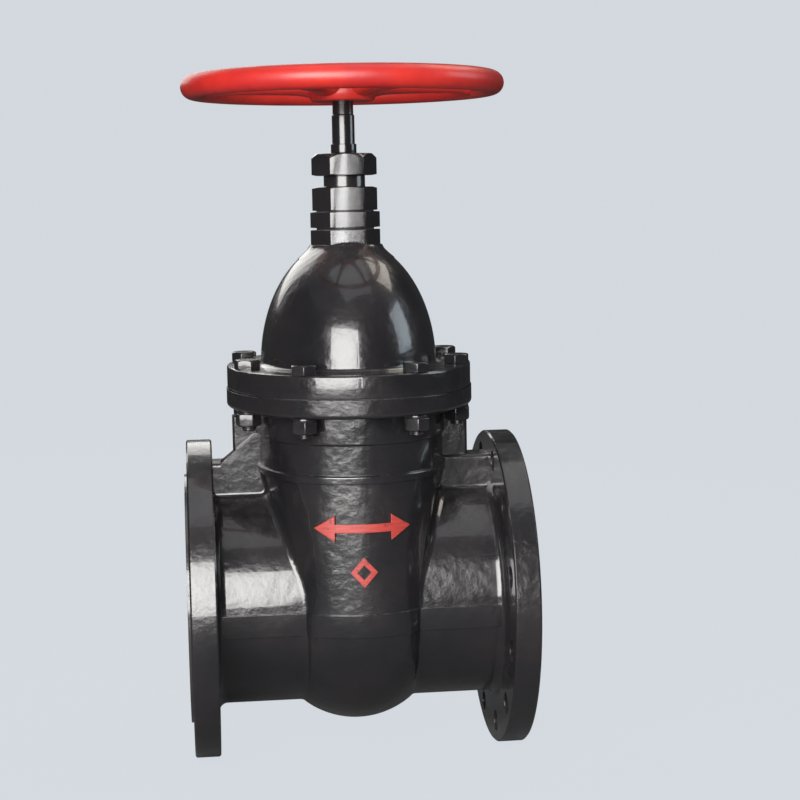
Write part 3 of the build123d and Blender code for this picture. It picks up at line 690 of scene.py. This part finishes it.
# %% Start a node group
def start_group(name, inputs, outputs):
    tree = bpy.data.node_groups.new(name, "ShaderNodeTree")
    for label, value in inputs.items():
        socket = tree.interface.new_socket(label, in_out="INPUT", socket_type="NodeSocketFloat")
        socket.default_value = value
    for label, kind in outputs.items():
        tree.interface.new_socket(label, in_out="OUTPUT", socket_type="NodeSocket" + kind)
    return tree, tree.nodes.new("NodeGroupInput").outputs, tree.nodes.new("NodeGroupOutput").inputs


def use(tree, group, out, **values):
    """Places a group in a finish with its own values."""
    return put(tree, "ShaderNodeGroup", out=out, node_tree=group, **values)


# %% [markdown]
# **Casting skin.** Sand leaves iron pebbled at about a millimetre, with slow waves a few centimetres long
# under it. Paint softens the grain and keeps the waves. Both are noise on object coordinates, so the
# pattern stays on the iron from every view.

# %% Group: casting skin
skin_tree, given, result = start_group(
    "casting_skin", {"Grain": 1.0, "Waves": 1.0}, {"Height": "Float", "Pits": "Float"})
place = put(skin_tree, "ShaderNodeTexCoord", out="Object")
fine = put(skin_tree, "ShaderNodeTexNoise", Vector=place, Scale=420.0, Detail=3.0, Roughness=0.6)
broad = put(skin_tree, "ShaderNodeTexNoise", Vector=place, Scale=34.0, Detail=2.0, Roughness=0.5)
lumps = put(skin_tree, "ShaderNodeTexNoise", Vector=place, Scale=115.0, Detail=1.5, Roughness=0.5)
cells = put(skin_tree, "ShaderNodeTexVoronoi", Vector=place, Scale=110.0, Randomness=1.0)
pits = ramp(skin_tree, cells, 0.06, 0.13)
grain = blend(skin_tree, "MULTIPLY", blend(skin_tree, "MULTIPLY", fine, 0.17), given["Grain"])
waves = blend(skin_tree, "MULTIPLY", blend(skin_tree, "MULTIPLY", broad, 1.1), given["Waves"])
dents = blend(skin_tree, "MULTIPLY", blend(skin_tree, "MULTIPLY", pits, 0.05), given["Grain"])
pebbles = blend(skin_tree, "MULTIPLY", blend(skin_tree, "MULTIPLY", lumps, 0.42), given["Grain"])
height = grain
for layer in (waves, pebbles, dents):
    height = blend(skin_tree, "ADD", height, layer)
skin_tree.links.new(height, result["Height"])
skin_tree.links.new(pits, result["Pits"])
print("group", skin_tree.name)

# %% [markdown]
# **Edges.** Brushed enamel draws thin over a corner, and corners are where a valve is knocked. A Bevel node
# looks for corners within a radius. Where its rounded normal leaves the true one, the mask rises, and noise
# breaks it up. The rounded normal itself also goes out, so that a sharp edge catches a fine line of light.

# %% Group: edges
edge_tree, given, result = start_group("edge_rub", {"Spread": 1.0}, {"Mask": "Float", "Normal": "Vector"})
SOFT_EDGE = 1.3 * MM
rounded = put(edge_tree, "ShaderNodeBevel", samples=6, Radius=SOFT_EDGE)
straight = put(edge_tree, "ShaderNodeNewGeometry", out="Normal")
agree = put(edge_tree, "ShaderNodeVectorMath", out="Value", operation="DOT_PRODUCT", i0=rounded, i1=straight)
bent = ramp(edge_tree, agree, 0.995, 0.86)
place = put(edge_tree, "ShaderNodeTexCoord", out="Object")
speckle = put(edge_tree, "ShaderNodeTexNoise", Vector=place, Scale=95.0, Detail=4.0, Roughness=0.7)
broken = ramp(edge_tree, speckle, 0.52, 0.66)
mask = blend(edge_tree, "MULTIPLY", blend(edge_tree, "MULTIPLY", bent, broken), given["Spread"])
edge_tree.links.new(mask, result["Mask"])
edge_tree.links.new(rounded, result["Normal"])
print("group", edge_tree.name)

# %% [markdown]
# **Dust.** A valve in a store room gathers a thin grey film where it faces up. The mask is the upward part
# of the normal, thinned by slow noise.

# %% Group: dust
dust_tree, given, result = start_group("settled_dust", {"Amount": 0.5}, {"Mask": "Float"})
facing = put(dust_tree, "ShaderNodeNewGeometry", out="Normal")
upward = put(dust_tree, "ShaderNodeSeparateXYZ", out="Z", Vector=facing)
lying = ramp(dust_tree, upward, 0.55, 1.0)
place = put(dust_tree, "ShaderNodeTexCoord", out="Object")
drift = put(dust_tree, "ShaderNodeTexNoise", Vector=place, Scale=55.0, Detail=5.0, Roughness=0.65)
patchy = ramp(dust_tree, drift, 0.35, 0.75)
mask = blend(dust_tree, "MULTIPLY", blend(dust_tree, "MULTIPLY", lying, patchy), given["Amount"])
dust_tree.links.new(mask, result["Mask"])
print("group", dust_tree.name)

# %% [markdown]
# **Mottle.** A brushed enamel is never one tone. Thick and thin patches a few centimetres wide differ a
# little in colour and gloss, with a finer cloud over them.

# %% Group: mottle
mottle_tree, given, result = start_group("paint_mottle", {"Fine": 0.4}, {"Patch": "Float", "Cloud": "Float"})
place = put(mottle_tree, "ShaderNodeTexCoord", out="Object")
slow = put(mottle_tree, "ShaderNodeTexNoise", Vector=place, Scale=14.0, Detail=3.0, Roughness=0.55)
quick = put(mottle_tree, "ShaderNodeTexNoise", Vector=place, Scale=120.0, Detail=4.0, Roughness=0.6)
patch = ramp(mottle_tree, slow, 0.35, 0.68)
cloud = blend(mottle_tree, "MULTIPLY", ramp(mottle_tree, quick, 0.35, 0.7), given["Fine"])
mottle_tree.links.new(patch, result["Patch"])
mottle_tree.links.new(cloud, result["Cloud"])
print("group", mottle_tree.name)

# %% [markdown]
# Each finish ends in one Principled shader. A number that is the same all over, such as the coat, is set on
# the shader itself. Only what changes over the surface is linked.

# %% Start and end a finish
def start_finish(name, **plain):
    """A new material, its node tree and its shader's inputs, with the plain numbers set."""
    material = bpy.data.materials.new(name)
    material.use_nodes = True
    surface = material.node_tree.nodes["Principled BSDF"].inputs
    for key, value in plain.items():
        surface[key.replace("_", " ")].default_value = value
    return material, material.node_tree, surface


def end_finish(tree, surface, colour, rough, height, normal=None):
    """Joins colour, roughness and a bump whose height is in millimetres."""
    tree.links.new(colour, surface["Base Color"])
    tree.links.new(rough, surface["Roughness"])
    bump = {"Height": height, "Strength": 1.0, "Distance": MM}
    if normal is not None:
        bump["Normal"] = normal
    tree.links.new(put(tree, "ShaderNodeBump", **bump), surface["Normal"])


# %% [markdown]
# ### Black enamel
# Black bitumen enamel lies thick and glossy over the cast iron. It is nearly black, a touch brown where it
# is thin. Over the sand's grain it keeps a soft pebble, and it has rubbed to grey at a few corners. The
# pipe flanges' raised faces are turned with fine rings before they are painted, so the same recipe cuts
# rings there, outside the plane where the flanges end.

# %% Black enamel for the castings
BLACK, THIN_BLACK, RUBBED, DUST = (
    (0.010, 0.0098, 0.0110, 1), (0.019, 0.0155, 0.0165, 1), (0.10, 0.095, 0.09, 1), (0.11, 0.108, 0.105, 1))
FACE_X = (span("valve_body")[1][0] - 2.5) * MM
RING_PITCH = 0.9 * MM


def black_enamel(name, grain, waves, dust, faced=False):
    """Black enamel with its own share of sand grain, waves and dust, and rings on the flange faces."""
    material, tree, surface = start_finish(name, Coat_Weight=0.6, Coat_Roughness=0.06, IOR=1.5)
    patch = use(tree, mottle_tree, "Patch", Fine=0.4)
    cloud = use(tree, mottle_tree, "Cloud", Fine=0.5)
    worn = use(tree, edge_tree, "Mask", Spread=0.55)
    soft = use(tree, edge_tree, "Normal")
    fallen = use(tree, dust_tree, "Mask", Amount=dust)
    height = use(tree, skin_tree, "Height", Grain=grain, Waves=waves)
    colour = tint(tree, blend(tree, "MULTIPLY", patch, 0.7), BLACK, THIN_BLACK)
    colour = tint(tree, fallen, tint(tree, worn, colour, RUBBED), DUST)
    rough = blend(tree, "ADD", ramp(tree, patch, 0, 1, 0.17, 0.25), blend(tree, "MULTIPLY", cloud, 0.09))
    rough = blend(tree, "ADD", rough, blend(tree, "MULTIPLY", fallen, 0.35))
    if faced:
        point = put(tree, "ShaderNodeTexCoord", out="Object")
        axes = tree.nodes.new("ShaderNodeSeparateXYZ")
        tree.links.new(point, axes.inputs[0])
        outside = blend(tree, "GREATER_THAN", blend(tree, "ABSOLUTE", axes.outputs["X"], 0), FACE_X)
        flat = put(tree, "ShaderNodeVectorMath", operation="MULTIPLY", i0=point, i1=(0, 1, 1))
        away = put(tree, "ShaderNodeVectorMath", out="Value", operation="LENGTH", i0=flat)
        turn = blend(tree, "SINE", blend(tree, "MULTIPLY", away, 2 * math.pi / RING_PITCH), 0)
        rings = blend(tree, "MULTIPLY", blend(tree, "MULTIPLY", turn, 0.06), outside)
        height = blend(tree, "ADD", height, rings)
        colour = tint(tree, blend(tree, "MULTIPLY", outside, 0.6), colour, (0.06, 0.058, 0.055, 1))
    end_finish(tree, surface, colour, rough, height, soft)
    print("finish", name, "with", len(tree.nodes), "nodes")
    return material


cast_black = black_enamel("black_enamel_on_casting", grain=1.0, waves=1.0, dust=0.22, faced=True)
smooth_black = black_enamel("black_enamel_on_machining", grain=0.25, waves=0.35, dust=0.12)

# %% [markdown]
# ### Red enamel
# The wheel is sprayed red over primer. It is glossier than the body, deeper in colour where the coat is
# thick, and it has chipped to dark iron along a few edges.

# %% Red enamel for the wheel
RED, DEEP_RED, CHIPPED = (0.50, 0.022, 0.014, 1), (0.34, 0.009, 0.010, 1), (0.10, 0.035, 0.028, 1)
red_enamel, tree, surface = start_finish(
    "red_enamel_on_wheel", Coat_Weight=0.2, Coat_Roughness=0.25, IOR=1.5)
patch = use(tree, mottle_tree, "Patch", Fine=0.4)
cloud = use(tree, mottle_tree, "Cloud", Fine=0.5)
worn = use(tree, edge_tree, "Mask", Spread=0.5)
soft = use(tree, edge_tree, "Normal")
fallen = use(tree, dust_tree, "Mask", Amount=0.18)
height = use(tree, skin_tree, "Height", Grain=0.35, Waves=0.7)
colour = tint(tree, worn, tint(tree, patch, RED, DEEP_RED), CHIPPED)
colour = tint(tree, fallen, colour, (0.55, 0.30, 0.27, 1))
rough = blend(tree, "ADD", ramp(tree, patch, 0, 1, 0.38, 0.48), blend(tree, "MULTIPLY", cloud, 0.14))
end_finish(tree, surface, colour, rough, height, soft)
print("finish", red_enamel.name)

# %% [markdown]
# ### Red on the marks
# Somebody picked the raised marks out by hand with a nearly dry brush. The red is flatter, streaked along
# the stroke, and the black shows through where the brush missed.

# %% Brushed red
brushed_red, tree, surface = start_finish(
    "brushed_red_on_marks", Coat_Weight=0.1, Coat_Roughness=0.4, IOR=1.5)
point = put(tree, "ShaderNodeTexCoord", out="Object")
stroke = put(tree, "ShaderNodeMapping", Vector=point, Scale=(60, 60, 900))
hairs = put(tree, "ShaderNodeTexNoise", Vector=stroke, Scale=1.0, Detail=3.0, Roughness=0.6)
misses = put(tree, "ShaderNodeTexNoise", Vector=point, Scale=130.0, Detail=4.0, Roughness=0.65)
missed = ramp(tree, misses, 0.60, 0.68)
worn = use(tree, edge_tree, "Mask", Spread=0.8)
bare = blend(tree, "MAXIMUM", missed, worn)
colour = tint(tree, ramp(tree, hairs, 0.35, 0.7), (0.40, 0.045, 0.034, 1), (0.26, 0.022, 0.020, 1))
colour = tint(tree, blend(tree, "MULTIPLY", bare, 0.75), colour, BLACK)
rough = ramp(tree, hairs, 0.3, 0.7, 0.42, 0.56)
height = blend(tree, "ADD", blend(tree, "MULTIPLY", hairs, 0.05), blend(tree, "MULTIPLY", bare, -0.04))
end_finish(tree, surface, colour, rough, height, use(tree, edge_tree, "Normal"))
print("finish", brushed_red.name)

# %% [markdown]
# ### Metals and packing
# Zinc is a cloudy grey with small crystals. Brass is turned, so fine rings run round the pipe axis or the
# stem axis. Bare iron is machined and has begun to rust in patches. Graphite packing is nearly black, with
# a braid that shows as small lozenges.

# %% Zinc and brass
zinc, tree, surface = start_finish("zinc_plate", Metallic=1.0)
point = put(tree, "ShaderNodeTexCoord", out="Object")
crystal = put(tree, "ShaderNodeTexVoronoi", Vector=point, Scale=480.0)
colour = tint(tree, crystal, (0.62, 0.63, 0.64, 1), (0.48, 0.49, 0.50, 1))
cloud = use(tree, mottle_tree, "Cloud", Fine=1.0)
height = use(tree, skin_tree, "Height", Grain=0.3, Waves=0.2)
end_finish(tree, surface, colour, ramp(tree, cloud, 0, 1, 0.26, 0.42), height, use(tree, edge_tree, "Normal"))


def turned_metal(name, plain, stained, axis, smooth, dull):
    """Bare metal with tool rings about an axis, given as the weights that leave that axis out."""
    material, tree, surface = start_finish(name, Metallic=1.0)
    point = put(tree, "ShaderNodeTexCoord", out="Object")
    flat = put(tree, "ShaderNodeVectorMath", operation="MULTIPLY", i0=point, i1=axis)
    away = put(tree, "ShaderNodeVectorMath", out="Value", operation="LENGTH", i0=flat)
    tool = blend(tree, "SINE", blend(tree, "MULTIPLY", away, 2 * math.pi / (0.45 * MM)), 0)
    patch = use(tree, mottle_tree, "Patch", Fine=0.4)
    cloud = use(tree, mottle_tree, "Cloud", Fine=1.0)
    colour = tint(tree, blend(tree, "MULTIPLY", patch, cloud), plain, stained)
    rough, height = ramp(tree, patch, 0, 1, smooth, dull), blend(tree, "MULTIPLY", tool, 0.012)
    end_finish(tree, surface, colour, rough, height)
    return material


brass_seat = turned_metal(
    "brass_turned_about_pipe", (0.72, 0.50, 0.22, 1), (0.42, 0.27, 0.12, 1), (0, 1, 1), 0.22, 0.38)
brass_stem = turned_metal(
    "brass_turned_about_stem", (0.72, 0.50, 0.22, 1), (0.42, 0.27, 0.12, 1), (1, 1, 0), 0.22, 0.38)
print("finishes", zinc.name, brass_seat.name, brass_stem.name)

# %% Bare iron and graphite
bare_iron, tree, surface = start_finish("bare_cast_iron")
patch = use(tree, mottle_tree, "Patch", Fine=0.5)
cloud = use(tree, mottle_tree, "Cloud", Fine=1.0)
rust = blend(tree, "MULTIPLY", patch, cloud)
colour = tint(tree, rust, (0.20, 0.195, 0.19, 1), (0.16, 0.065, 0.03, 1))
tree.links.new(ramp(tree, rust, 0.1, 0.6, 0.85, 0.1), surface["Metallic"])
height = use(tree, skin_tree, "Height", Grain=2.0, Waves=1.0)
end_finish(tree, surface, colour, ramp(tree, rust, 0, 1, 0.42, 0.8), height, use(tree, edge_tree, "Normal"))

graphite, tree, surface = start_finish("graphite_packing")
point = put(tree, "ShaderNodeTexCoord", out="Object")
pressed = put(tree, "ShaderNodeMapping", Vector=point, Scale=(1, 1, 1.6))
braid = put(tree, "ShaderNodeTexVoronoi", Vector=pressed, Scale=420.0)
colour = tint(tree, ramp(tree, braid, 0.1, 0.6), (0.035, 0.035, 0.037, 1), (0.012, 0.012, 0.013, 1))
rough, height = ramp(tree, braid, 0, 0.7, 0.42, 0.66), blend(tree, "MULTIPLY", braid, -0.15)
end_finish(tree, surface, colour, rough, height)
print("finishes", bare_iron.name, graphite.name)

# %% [markdown]
# ### Paper
# The sweep is lit from behind, like the table in a product studio, so it stays pale right up to the wall.
# The valve itself should mirror a dimmer room, or its black turns grey. The Light Path node tells the two
# apart: the paper glows for what looks at it directly, and lies in half shade for everything else.

# %% Paper and the room's air
PALE = (0.665, 0.705, 0.745, 1)
paper_finish, tree, surface = start_finish("pale_paper", Specular_IOR_Level=0.1)
fibre = put(tree, "ShaderNodeTexNoise", Vector=put(tree, "ShaderNodeTexCoord", out="Object"), Scale=300.0,
            Detail=3.0)
seen = put(tree, "ShaderNodeLightPath", out="Is Camera Ray")
colour = tint(tree, ramp(tree, fibre, 0.3, 0.7), (0.13, 0.134, 0.14, 1), (0.12, 0.124, 0.13, 1))
end_finish(tree, surface, colour, ramp(tree, fibre, 0, 1, 0.75, 0.9), blend(tree, "MULTIPLY", fibre, 0.02))
glow = put(tree, "ShaderNodeEmission", Color=PALE, Strength=1.13)
own = tree.nodes["Principled BSDF"].outputs[0]
faint = put(tree, "ShaderNodeMixShader", i0=0.14, i1=glow, i2=own)
whole = put(tree, "ShaderNodeMixShader", i0=seen, i1=own, i2=faint)
tree.links.new(whole, tree.nodes["Material Output"].inputs["Surface"])
print("finish", paper_finish.name)

# %% [markdown]
# ## Dressing
# Every piece now gets its finish, both the new ones and the pieces that stay as the frame gives them.

# %% Give every piece its finish
def dress(finish, *pieces):
    for piece in pieces:
        piece = nodes[piece] if isinstance(piece, str) else piece
        if not piece.data.materials:
            piece.data.materials.append(finish)
        for k in range(len(piece.data.materials)):
            piece.data.materials[k] = finish


dress(cast_black, bonnet, "valve_body")
dress(smooth_black, neck_nut, packing_box, gland_nut, collar, stem, bolts, nuts, washers)
dress(red_enamel, wheel)
dress(brushed_red, "raised_marks")
dress(zinc, wheel_washer, wheel_nut)
dress(brass_seat, "seat_ring_left", "seat_ring_right", "wedge_ring_left", "wedge_ring_right")
dress(brass_stem, "stem_nut", "gland_follower", "packing_base_ring", "thrust_washer_lower",
      "thrust_washer_upper")
dress(bare_iron, "wedge")
dress(graphite, "bonnet_gasket", "neck_gasket", "packing_box_gasket", "packing_rings")
dress(paper_finish, paper)
print("every piece is dressed")

# %% [markdown]
# ## Sizes
# The finished model must stay inside the CAD model's box.

# %% Compare both boxes
new_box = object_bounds()
growth = [max(abs(a - b) for a, b in zip(p, q)) / MM for p, q in zip(cad_box, new_box)]
print("largest difference between the boxes:", round(max(growth), 2), "mm")
